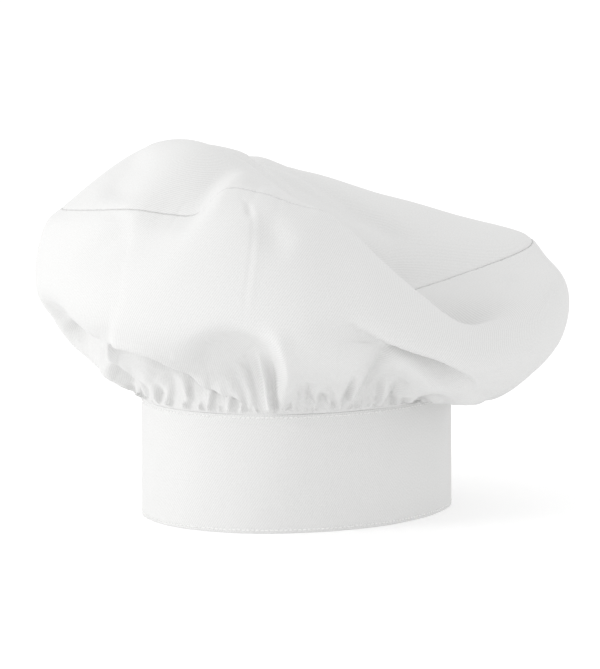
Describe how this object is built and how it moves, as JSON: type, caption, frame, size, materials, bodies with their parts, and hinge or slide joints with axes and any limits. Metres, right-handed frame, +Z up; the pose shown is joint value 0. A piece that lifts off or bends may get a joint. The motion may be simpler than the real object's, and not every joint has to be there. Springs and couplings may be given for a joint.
{
  "type": "chef toque",
  "caption": "Floppy chef hat: a round top panel and side wall gathered onto a tall oval headband that closes at the back with a peel-open tab.",
  "frame": {"origin": "on the floor that the band's rim stands on, under the middle of the hat's box", "axes": "+Z up; -Y towards the front of the hat, the forehead; +Y towards the back closure; +X towards the wearer's left"},
  "size_m": [0.3131, 0.3156, 0.226],
  "materials": {
    "twill": "matte twill weave",
    "interfacing": "matte",
    "lining": "matte plain weave",
    "hook_tape": "fine hooks",
    "loop_tape": "napped",
    "label": "satin, blank",
    "thread": "thread"
  },
  "bodies": {
    "hat": {"crown_side": "twill", "crown_top": "twill", "band_outer": "twill", "band_interfacing": "interfacing", "band_lining": "lining", "loop_strip": "loop_tape", "care_label": "label", "crown_seam_stitching": "thread", "band_top_stitching": "thread", "band_bottom_stitching": "thread", "loop_stitching": "thread"},
    "closure_tab": {"tab_outer": "twill", "tab_interfacing": "interfacing", "tab_lining": "lining", "hook_strip": "hook_tape", "tab_edge_stitching": "thread", "hook_stitching": "thread"}
  },
  "joints": [
    {"name": "closure_tab_peel", "type": "hinge", "parent": "hat", "child": "closure_tab", "pos_m": [0.04025, 0.09235, 0], "axis": [0, 0, -1], "range_deg": [0, 80]}
  ]
}
